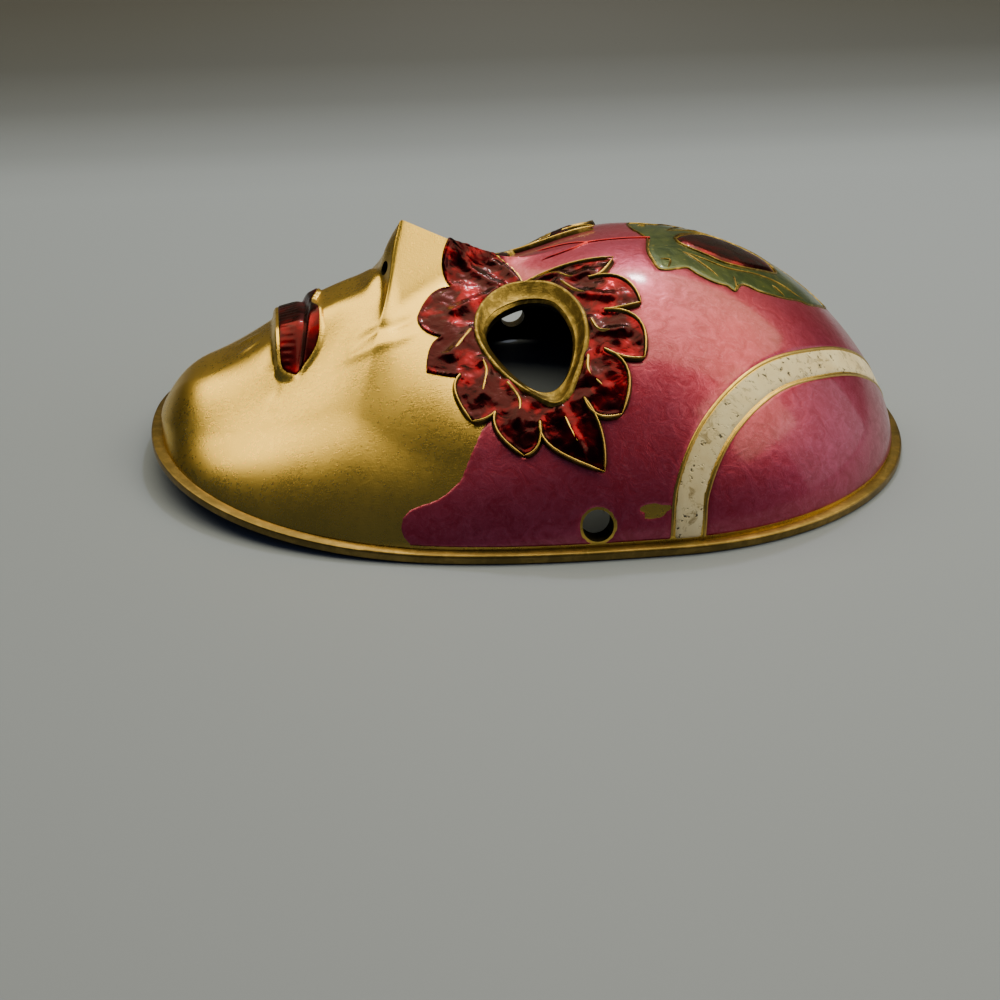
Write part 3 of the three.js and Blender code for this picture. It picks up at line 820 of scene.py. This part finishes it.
def collar_part():
    """Ring around the eye hole: a rounded crest, a bezel sloping in, and the throat of the hole."""
    angles = np.linspace(-math.pi, math.pi, 180, endpoint=False)
    crest = radius_towards(COLLAR_OUTLINE, angles)
    hole = radius_towards(HOLE_OUTLINE, angles)
    profile = [
        (crest + 1.5, -0.9),
        (crest + 0.8, 0.3),
        (crest + 0.45, 0.95),
        (crest + 0.15, COLLAR_HEIGHT - 0.05),
        (crest - 0.1, COLLAR_HEIGHT),
        (crest - 0.4, COLLAR_HEIGHT - 0.12),
    ]
    for share in (0.3, 0.5, 0.7, 0.88):
        profile.append((mix(crest - 0.1, hole, share), mix(COLLAR_HEIGHT, -HOLE_DEPTH, share**0.85)))
    profile += [(hole, -HOLE_DEPTH - 0.2), (hole + 0.15, -HOLE_DEPTH - 0.7)]
    profile += [(hole + 0.6, -2.2), (crest + 1.5, -2.0)]
    forward, inward = np.cos(angles), np.sin(angles)
    sections = [on_eye(radius * forward, radius * inward, height) for radius, height in profile]
    return loft(np.stack(sections, axis=1), close_rows=True)


def eye_cutter():
    """Bar through the face, a little wider than the throat of the eye hole."""
    angles = np.linspace(-math.pi, math.pi, 120, endpoint=False)
    radius = radius_towards(HOLE_OUTLINE, angles) + 0.7
    forward = np.outer(radius * np.cos(angles), EYE_FORWARD)
    flat = EYE_CENTRE + forward + np.outer(radius * np.sin(angles), EYE_INWARD)
    return loft([flat - 16 * EYE_OUTWARD, flat + 16 * EYE_OUTWARD])


def round_cutter(hole, direction, sides):
    """Round bar along a hole of the mask's right side."""
    direction = unit(np.asarray(direction, float))
    side = unit(np.cross(direction, (0.3, 0.1, 1)))
    up = np.cross(direction, side)
    angles = np.linspace(0, 2 * math.pi, sides, endpoint=False)
    circle = hole["radius"] * (np.outer(np.cos(angles), side) + np.outer(np.sin(angles), up))
    circle = np.array((hole["x"], -hole["y"], hole["z"])) + circle
    half = direction * hole["length"] / 2
    return loft([circle - half, circle + half])


def make_body(materials):
    """Brass casting: face and rim, hollow behind, with its holes and the collars of the eyes."""
    face = block(290, 250, 0, outer_height, lambda x, y: rim_lift(x) + RIM_THICKNESS / 2)
    hollow = block(120, 90, -WALL, hollow_height, lambda x, y: -2 * WALL)
    body = add_object("mask_casting", face, materials)
    steps = [(rim_part(), "UNION"), (hollow, "DIFFERENCE")]
    temple = round_cutter(TEMPLE_HOLE, (0, 1, 0), 48)
    nostril = round_cutter(NOSTRIL, (BASE_SLOPE, 0, -1), 32)
    for part in (eye_cutter(), temple, nostril):
        steps += [(part, "DIFFERENCE"), (mirrored(part), "DIFFERENCE")]
    collar = collar_part()
    steps += [(collar, "UNION"), (mirrored(collar), "UNION")]
    for part, operation in steps:
        carve(body, add_object("tool", part, []), operation)
    mesh = body.data
    smooth(mesh)
    centres = np.zeros(len(mesh.polygons) * 3)
    mesh.polygons.foreach_get("center", centres)
    centres = centres.reshape(-1, 3) / MM
    x, y, z = centres.T
    s, t = eye_chart(centres)
    angles = np.arctan2(t, s)
    depth = face_height(x, y) - z
    throat = np.hypot(s, t) < radius_towards(HOLE_OUTLINE, angles) + 0.9
    throat &= depth > HOLE_DEPTH + 0.3
    collar_faces = (np.hypot(s, t) < radius_towards(COLLAR_OUTLINE, angles) + 1.2) & (depth < SKIN_DEPTH)
    # Index 1, the inside and the eye throats, takes the dark cast brass, darkened partly as patina and partly
    # as painted shade
    inner = (depth > SKIN_DEPTH) & (np.abs(y) < half_width_at(x, -0.3)) & (z > rim_lift(x) + 0.02)
    # Index 3, the rim and the band just above it, takes brass darkened as painted shade
    outside = (np.abs(y) > half_width_at(x, 0.1)) | (z < rim_lift(x) + RIM_THICKNESS + 0.05)
    kinds = np.select((inner | throat, collar_faces, outside), (1, 2, 3), 0)
    mesh.polygons.foreach_set("material_index", kinds.astype(np.int32))
    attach(body, "root")
    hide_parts("mask")


# Enamel


def crown_grid():
    """Fine grid over the brow and forehead."""
    x = stations(330)
    x = x[x > CROWN_ENAMEL_FROM_X][:, None]
    y = column_share(290)[None, :] * half_width_at(x) * INSIDE_EDGE
    return on_dome(np.broadcast_to(x, y.shape), y)


def symmetric(edge):
    """Smooth outline through x and |y|, closed by its mirror image."""
    curve = curve_through(edge, 4)
    return np.concatenate((curve, (curve * (1, -1))[-2:0:-1]))


def meniscus(inside, height=ENAMEL_HEIGHT, edge=ENAMEL_EDGE):
    """Enamel thins out towards its edge and dips below the brass there."""
    return mix(-ENAMEL_EDGE_DEPTH, height, smooth_step(inside / edge))


def area_distance(points, near, outline):
    """Distance inside an outline at the points near it, and well outside it elsewhere."""
    distance = np.full(near.shape, -FAR)
    distance[near] = inside_distance(points[near], outline)
    return distance


def make_crown_enamels(looks):
    """Each enamel takes its part of the crown by its distance inside the edges around it."""
    grid = crown_grid()
    x, y, z = np.moveaxis(grid, -1, 0)
    line = dome_path(BAND_LINE, 10)
    band = segment_distance(on_right(grid), line[:-1], line[1:])
    near = (x > 20) & (x < 72) & (np.abs(y) < 26)
    ornament = area_distance(grid[..., :2], near, symmetric(ORNAMENT_EDGE))
    bud = area_distance(grid[..., :2], near, symmetric(BUD_EDGE))
    s, t = eye_chart(grid)
    near = (np.hypot(s, t) < 36) & (x < 30)
    rosette = area_distance(np.stack((s, t), -1), near, rosette_outline())
    rim = z - rim_lift(x) - RIM_THICKNESS - GAPS["rim"]
    cheek = x - np.interp(z, CHEEK_EDGE_Z, CHEEK_EDGE_X)
    temple = np.hypot(x - TEMPLE_HOLE["x"], z - TEMPLE_HOLE["z"]) - TEMPLE_HOLE["radius"] - GAPS["temple"]
    along = (x - BARE_SPOT["x"]) / BARE_SPOT["along"]
    up = (z - BARE_SPOT["z"]) / BARE_SPOT["up"]
    turn = np.arctan2(up, along)
    spot = np.hypot(along, up) - 1 - 0.18 * np.sin(3 * turn + 0.6) - 0.12 * np.sin(5 * turn)
    at_side = np.where(np.abs(y) < SIDE_Y, FAR, np.minimum(temple, spot))
    band_edge = band - BAND_HALF_WIDTH - BAND_BORDER[0] / 2
    pink = np.minimum.reduce((rim, cheek, band_edge, -ornament, -rosette, at_side))
    layer = lambda inside, points: meniscus(inside)
    bud_layer = lambda inside, points: meniscus(inside, BUD_HEIGHT, BUD_SHOULDER)
    for name, value, height, look in (
        ("pink_enamel", pink, layer, "pink"),
        ("cream_band", np.minimum(BAND_HALF_WIDTH - band, rim), layer, "cream"),
        ("green_ornament", np.minimum(ornament - GAPS["ornament"], -bud), layer, "green"),
        ("red_bud", bud - GAPS["bud"], bud_layer, "lips"),
    ):
        add_piece(name, enamel_layer(grid, value, height), looks[look])


def leaf_relief(points):
    """Ground of the leaves: raised along their ribs, sunk between them, a little uneven."""
    flat = np.stack(eye_chart(points), axis=-1)
    away = np.full(flat.shape[:-1], np.inf)
    for line in LEAF_RIBS + COVERED_RIBS:
        curve = curve_through(line, 4)
        away = np.minimum(away, segment_distance(flat, curve[:-1], curve[1:]))
    folds = 0.7 * np.exp(-((away / 1.2) ** 2)) - 0.35
    return folds + 0.2 * value_noise(flat, 2.4, 3) + 0.08 * value_noise(flat, 1.2, 5)


def make_rosette(looks):
    s, t = np.meshgrid(np.arange(-24, 25, 0.3), np.arange(-33, 32, 0.3), indexing="ij")
    flat = np.stack((s, t), axis=-1)
    grid = on_eye(s, t)
    edge = inside_distance(flat, rosette_outline())
    collar = np.hypot(s, t) - radius_towards(COLLAR_OUTLINE, np.arctan2(t, s)) - GAPS["collar"]

    def height(inside, points):
        share = np.clip(inside / LEAF_EDGE, 0, 1)
        rounded = np.sqrt(1 - (1 - share) ** 2)
        return mix(-0.1, LEAF_HEIGHT, rounded) + leaf_relief(points) * smooth_step(inside / 1.2)

    part = enamel_layer(grid, np.minimum(edge, collar + LEAF_EDGE), height, LEAF_DEPTH)
    walls, crests = [], []
    for number in WALLED_LEAVES:
        for flank, taper in zip(leaf_flanks(number), ((0, 0.12), (0.12, 0))):
            path = on_eye(*flank.T)
            walls.append(ridge(path, *LEAF_WALL, taper, 0.5))
            top = path + (LEAF_WALL[1] - 0.1) * surface_normals(path)
            taper = (taper[0] * 2, taper[1] * 2)
            crests.append(ridge(top, *LEAF_CREST, taper, 0.3))
    paths = [on_eye(*curve_through(line).T, LEAF_HEIGHT - 0.1) for line in LEAF_RIBS]
    ribs = [ridge(path, *LEAF_RIB, (0.08, 0.65), 0.6) for path in paths]
    for name, turn in (("right", lambda item: item), ("left", mirrored)):
        add_piece(f"leaf_enamel_{name}", turn(part), looks["leaf"])
        # The walls' dark brass is painted shade of their flanks
        add_piece(f"leaf_walls_painted_shade_{name}", turn(joined(*walls)), looks["wall"])
        add_piece(f"leaf_crests_{name}", turn(joined(*crests)), looks["edge"])
        add_piece(f"leaf_ribs_{name}", turn(joined(*ribs)), looks["edge"])


def make_dome_ridges(looks):
    """Brass borders of the band, edges and ribs of the ornament, and the stem below it."""
    middle = dome_path(BAND_LINE, 10)
    tangents = unit(np.gradient(middle, axis=0))
    sides = unit(np.cross(surface_normals(middle), tangents))
    borders = []
    for sign in (-1, 1):
        shifted = middle + sign * (BAND_HALF_WIDTH + BAND_BORDER[0] / 2) * sides
        limit = half_width_at(shifted[:, 0]) * INSIDE_EDGE
        y = -np.minimum(np.abs(shifted[:, 1]), limit)
        keep = shifted[:, 1] < 0.3
        path = on_dome(shifted[keep, 0], y[keep])
        borders.append(ridge(path, *BAND_BORDER, (0, 0.05)))
    add_piece("band_borders", both_sides(joined(*borders)), looks["edge"])
    edges = [ridge(dome_path(ORNAMENT_EDGE, 4), *ORNAMENT_BORDER, (0, 0))]
    edges.append(ridge(dome_path(BUD_EDGE, 4), *BUD_BORDER, (0, 0)))
    edges += [ridge(dome_path(line), *ORNAMENT_RIB, (0.3, 0.4)) for line in ORNAMENT_RIBS]
    add_piece("ornament_edges", both_sides(joined(*edges)), looks["collar"])
    stem = ridge(dome_path(STEM_LINE), *STEM, (0, 0))
    fork = both_sides(ridge(dome_path(STEM_FORK), *STEM, (0, 0.3)))
    add_piece("forehead_stem", joined(stem, fork), looks["stem"])


def mouth_outline():
    across = np.sin(np.linspace(-math.pi / 2, math.pi / 2, 81)) * MOUTH_HALF_WIDTH
    lower, _, upper, share = lip_edges(across)
    lower = lower + LIP_STEP * (1 - share**4)
    return np.concatenate((np.stack((lower, across), 1), np.stack((upper, across), 1)[-2:0:-1]))


def make_lips(looks):
    x, y = np.meshgrid(np.arange(-58, -43.5, 0.22), np.arange(-18.5, 18.51, 0.22), indexing="ij")
    grid = on_dome(x, y)
    value = inside_distance(np.stack((x, y), axis=-1), mouth_outline()) - LIP_BORDER

    def height(inside, points):
        parting = lip_edges(points[:, 1])[1]
        fine = np.sin(points[:, 1] * 2 * math.pi / 1.5 + 1.2 * np.sin(points[:, 0] * 0.7))
        ribbed = smooth_step((parting - points[:, 0] - 1) / 1.5) * smooth_step(inside / 1.2)
        return meniscus(inside, 0.16, 0.5) + 0.03 * fine * ribbed

    add_piece("lips_enamel", enamel_layer(grid, value, height), looks["lips"])


# Materials


def feed(socket, value):
    """Links a socket to another node's output, or sets it. A colour is opaque."""
    if isinstance(value, bpy.types.NodeSocket):
        socket.id_data.links.new(value, socket)
    else:
        socket.default_value = (*value, 1) if socket.type == "RGBA" else value


class Look:
    """A material being made, with its patterns measured in millimetres."""

    def __init__(self, name, base, **values):
        self.material = bpy.data.materials.new(name)
        self.material.use_nodes = True
        self.colour = base
        for socket, value in values.items():
            self.set(socket.replace("_", " "), value)
        self.place = self.node("ShaderNodeTexCoord").outputs["Object"]

    def set(self, socket, value):
        feed(self.material.node_tree.nodes["Principled BSDF"].inputs[socket], value)

    def node(self, kind, inputs=None, **settings):
        """Adds a node; an input is a value or another node's output."""
        made = self.material.node_tree.nodes.new(kind)
        for name, value in settings.items():
            setattr(made, name, value)
        for name, value in (inputs or {}).items():
            feed(made.inputs[name], value)
        return made

    def noise(self, size, detail, roughness, distortion=0.0, scale=(1, 1, 1), turn=(0, 0, 0)):
        """Noise with bumps of about the given size, over coordinates turned and scaled."""
        values = {"Vector": self.place, "Rotation": turn, "Scale": [value / MM for value in scale]}
        place = self.node("ShaderNodeMapping", values).outputs["Vector"]
        values = {"Scale": 1 / size, "Detail": detail, "Roughness": roughness, "Distortion": distortion}
        return self.node("ShaderNodeTexNoise", {"Vector": place, **values}).outputs["Fac"]

    def ramp(self, pattern, *stops):
        """Colour ramp. A stop is (place, grey) or (place, colour)."""
        made = self.node("ShaderNodeValToRGB", {"Fac": pattern})
        elements = made.color_ramp.elements
        while len(elements) < len(stops):
            elements.new(0.5)
        for element, (place, colour) in zip(elements, stops):
            element.position = place
            element.color = (*colour, 1) if isinstance(colour, tuple) else (colour, colour, colour, 1)
        return made.outputs["Color"]

    def cover(self, colour, pattern, *stops):
        """Lays a colour over the base colour, as densely as the pattern's ramp says."""
        values = {"Factor": self.ramp(pattern, *stops), "A": self.colour, "B": colour}
        self.colour = self.node("ShaderNodeMix", values, data_type="RGBA").outputs["Result"]
        self.set("Base Color", self.colour)

    def added(self, *terms, start=0.0):
        """Sum of patterns, each times its share."""
        for pattern, share in terms:
            made = self.node("ShaderNodeMath", operation="MULTIPLY_ADD")
            for socket, value in zip(made.inputs, (pattern, share, start)):
                feed(socket, value)
            start = made.outputs["Value"]
        return start

    def relief(self, height, depth):
        """Bump of a pattern, its depth in millimetres."""
        values = {"Height": height, "Distance": depth * MM, "Strength": 1.0}
        self.set("Normal", self.node("ShaderNodeBump", values).outputs["Normal"])


def brass_look(name, light, dark, roughness, scratch_depth, grime=0.0):
    """Brass in patches, brushed in two directions, with stains where there is grime."""
    look = Look(name, dark, Metallic=1.0)
    patches = look.noise(14, 4, 0.6)
    fine = look.noise(1.2, 4, 0.65)
    brushed = look.noise(0.6, 3, 0.6, scale=(0.12, 2.2, 2.2), turn=(0, 0, 0.5))
    crossed = look.noise(0.6, 3, 0.6, scale=(2.4, 0.1, 1.6), turn=(0, 0.3, -0.35))
    look.cover(light, patches, (0.35, 0.0), (0.65, 1.0))
    look.cover(dark, brushed, (0.35, 0.0), (0.7, 0.5))
    if grime:
        stain = tuple(value * 0.35 for value in dark)
        look.cover(stain, look.noise(2.6, 5, 0.7, 0.6), (0.46, grime), (0.6, 0.0))
    look.set("Roughness", look.added((fine, 0.1), (patches, 0.08), start=roughness - 0.05))
    look.relief(look.added((brushed, 1), (crossed, 1), (fine, 0.2)), scratch_depth)
    return look.material


def leaf_look(name, painted_glint, deep, glint_size, relief):
    """Translucent red enamel over textured metal, with painted glints as lighter red spots in its colour."""
    look = Look(name, deep, Metallic=0.95, Coat_Weight=0.12, Coat_Roughness=0.05, Coat_IOR=1.45)
    # The lighter red spots are painted glints of the metal under the enamel
    look.cover(painted_glint, look.noise(5, 2, 0.5, 0.3), (0.48, 0.0), (0.72, 1.0))
    hammered = look.noise(glint_size, 2, 0.5, 0.5)
    look.set("Roughness", look.ramp(hammered, (0.3, 0.2), (0.7, 0.36)))
    look.relief(hammered, relief)
    return look.material


def pink_look():
    values = {"Metallic": 0.7, "Coat_Weight": 0.6, "Coat_Roughness": 0.12, "Coat_IOR": 1.45}
    look = Look("pink_pearl_enamel", (0.27, 0.014, 0.05), **values)
    swirls = look.noise(4.2, 6, 0.68, 1.6)
    fibres = look.noise(1.0, 5, 0.7, 1.2)
    look.cover((0.44, 0.057, 0.13), swirls, (0.36, 0.0), (0.64, 1.0))
    look.cover((0.35, 0.012, 0.04), look.noise(22, 3, 0.5), (0.35, 0.0), (0.7, 0.45))
    look.cover((0.56, 0.135, 0.25), fibres, (0.5, 0.0), (0.72, 0.35))
    look.set("Roughness", look.ramp(swirls, (0.3, 0.42), (0.7, 0.3)))
    look.relief(look.added((swirls, 1), (fibres, 0.3)), 0.1)
    return look.material


def cream_look():
    look = Look("cream_enamel", (0.8, 0.65, 0.38), Coat_Weight=0.35, Coat_Roughness=0.2)
    clouds = look.noise(5, 4, 0.6)
    pits = look.noise(1.1, 2, 0.5, 0.3)
    look.cover((0.95, 0.84, 0.58), clouds, (0.3, 0.0), (0.7, 1.0))
    look.cover((0.3, 0.22, 0.1), look.noise(2.2, 5, 0.7, 0.8), (0.36, 0.8), (0.47, 0.0))
    look.cover((0.06, 0.045, 0.02), pits, (0.31, 1.0), (0.36, 0.0))
    look.set("Roughness", look.ramp(clouds, (0.3, 0.32), (0.7, 0.46)))
    look.relief(look.ramp(pits, (0.27, 0.0), (0.4, 1.0)), 0.15)
    return look.material


def green_look():
    values = {"Metallic": 0.45, "Coat_Weight": 0.5, "Coat_Roughness": 0.08, "Coat_IOR": 1.45}
    look = Look("green_enamel", (0.02, 0.045, 0.009), Roughness=0.35, **values)
    clouds = look.noise(3.5, 5, 0.65, 0.8)
    look.cover((0.07, 0.1, 0.02), clouds, (0.35, 0.0), (0.65, 1.0))
    look.cover((0.3, 0.27, 0.04), look.noise(1.4, 3, 0.6, 0.5), (0.62, 0.0), (0.72, 0.7))
    look.relief(clouds, 0.18)
    return look.material


def make_looks():
    return {
        "brass": brass_look("satin_brass", (0.88, 0.58, 0.11), (0.76, 0.5, 0.095), 0.24, 0.03),
        # The inside's near-black brass is partly dark patina and partly painted shade of the hollow behind the
        # face
        "cast": brass_look("cast_brass_patina_and_shade", (0.07, 0.055, 0.03), (0.035, 0.028, 0.016), 0.6, 0.2, 0.6),
        "collar": brass_look("collar_brass", (0.48, 0.33, 0.08), (0.26, 0.18, 0.045), 0.34, 0.05, 0.8),
        # The rim brass is darkened as painted shade of the low rim beside the floor
        "rim": brass_look("rim_brass_painted_shade", (0.36, 0.24, 0.07), (0.2, 0.14, 0.045), 0.34, 0.02, 0.4),
        "edge": brass_look("edge_brass", (0.84, 0.56, 0.14), (0.6, 0.4, 0.1), 0.26, 0.02, 0.3),
        # Wall brass is darkened as painted shade of the walls' flanks; their crests keep bright brass
        "wall": brass_look("wall_brass_painted_shade", (0.2, 0.13, 0.04), (0.09, 0.06, 0.02), 0.4, 0.05, 0.7),
        # In the leaf_look calls below, the first colour is that of the painted glints
        "leaf": leaf_look("leaf_enamel", (0.22, 0.0015, 0.009), (0.03, 0.0008, 0.003), 2.6, 0.3),
        "lips": leaf_look("lip_enamel", (0.22, 0.0015, 0.007), (0.05, 0.001, 0.003), 3.5, 0.05),
        # The stem's light reds are partly its own red and partly painted highlight along its thin ridge
        "stem": leaf_look("stem_enamel_and_highlight", (0.5, 0.03, 0.04), (0.3, 0.012, 0.02), 3.0, 0.04),
        "pink": pink_look(),
        "cream": cream_look(),
        "green": green_look(),
    }


def make_stage():
    """Pale sweep: a floor that turns up into a backdrop, with painted shade that darkens it upwards."""
    half, front, back, radius, top = 1100, -700, 460, 260, 520
    turn = np.linspace(0, math.pi / 2, 17)
    profile = [(front, 0)]
    profile += [(back - radius + radius * math.sin(a), radius - radius * math.cos(a)) for a in turn]
    profile.append((back, top))
    grid = np.array([[(x, y, z) for x in (-half, half)] for y, z in profile], float)
    points = grid.reshape(-1, 3)
    look = Look("pale_grey", FLOOR_GREY, Roughness=0.6)
    # The backdrop's darkening upwards is painted shade, not a colour of its own
    height = look.node("ShaderNodeSeparateXYZ", {"Vector": look.place}).outputs["Z"]
    share = look.added((height, 1 / (PAINTED_SHADE_HEIGHT * MM)))
    stops = [(at, tuple(shade * value for value in FLOOR_GREY)) for at, shade in BACKDROP_PAINTED_SHADE]
    look.set("Base Color", look.ramp(share, *stops))
    add_object("stage_sweep", (points, grid_triangles(*grid.shape[:2])), [look.material])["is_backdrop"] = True


def add_light(name, location, target, size, power, colour=(1, 1, 1), roll=0.0):
    data = bpy.data.lights.new(name, "AREA")
    data.shape = "RECTANGLE"
    data.size, data.size_y = (value * MM for value in size)
    data.energy = power
    data.color = colour
    light = bpy.data.objects.new(name, data)
    light.location = Vector(location) * MM
    aim = (Vector(target) - Vector(location)).to_track_quat("-Z", "Y").to_matrix()
    light.rotation_euler = (aim @ Matrix.Rotation(math.radians(roll), 3, "Z")).to_euler()
    bpy.context.scene.collection.objects.link(light)


def make_lights():
    """A ceiling panel above and behind the mask, a dimmer one to its right, and a small window."""
    add_light("key", (0, 281, 600), (0, 281, 0), (1500, 630), 10.6, WARM, -19)
    add_light("side", (400, -240, 400), (0, 0, 20), (300, 300), 0.8, WARM)
    add_light("low_side", (620, -60, 190), (0, 0, 20), (500, 360), 0.5)
    add_light("window", (100, 348, 516), (27, -10, 41), (40, 28), 0.7)
    world = bpy.data.worlds.new("studio")
    world.use_nodes = True
    background = world.node_tree.nodes["Background"]
    background.inputs["Color"].default_value = WORLD_COLOUR
    background.inputs["Strength"].default_value = WORLD_STRENGTH
    bpy.context.scene.world = world


def make_camera():
    """Camera of the photograph: above the mask's right side, level, looking down."""
    pitch, turn = math.radians(CAMERA_DOWN), math.radians(CAMERA_TURN)
    right = Vector((math.cos(turn), -math.sin(turn), 0))
    up = Vector((math.sin(turn) * math.sin(pitch), math.cos(turn) * math.sin(pitch), math.cos(pitch)))
    axes = Matrix((right, up, right.cross(up))).transposed().to_4x4()
    data = bpy.data.cameras.new("camera")
    data.sensor_width = CAMERA_SENSOR
    data.lens = CAMERA_LENS
    data.clip_start = 0.01
    camera = bpy.data.objects.new("camera", data)
    camera.matrix_world = Matrix.Translation(Vector(CAMERA_PLACE) * MM) @ axes
    bpy.context.scene.collection.objects.link(camera)
    bpy.context.scene.camera = camera


looks = make_looks()
make_body([looks["brass"], looks["cast"], looks["collar"], looks["rim"]])
make_crown_enamels(looks)
make_rosette(looks)
make_dome_ridges(looks)
make_lips(looks)
make_stage()
make_lights()
make_camera()
visual_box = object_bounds()
{"cad": [list(corner) for corner in cad_box], "visual": [list(corner) for corner in visual_box]}
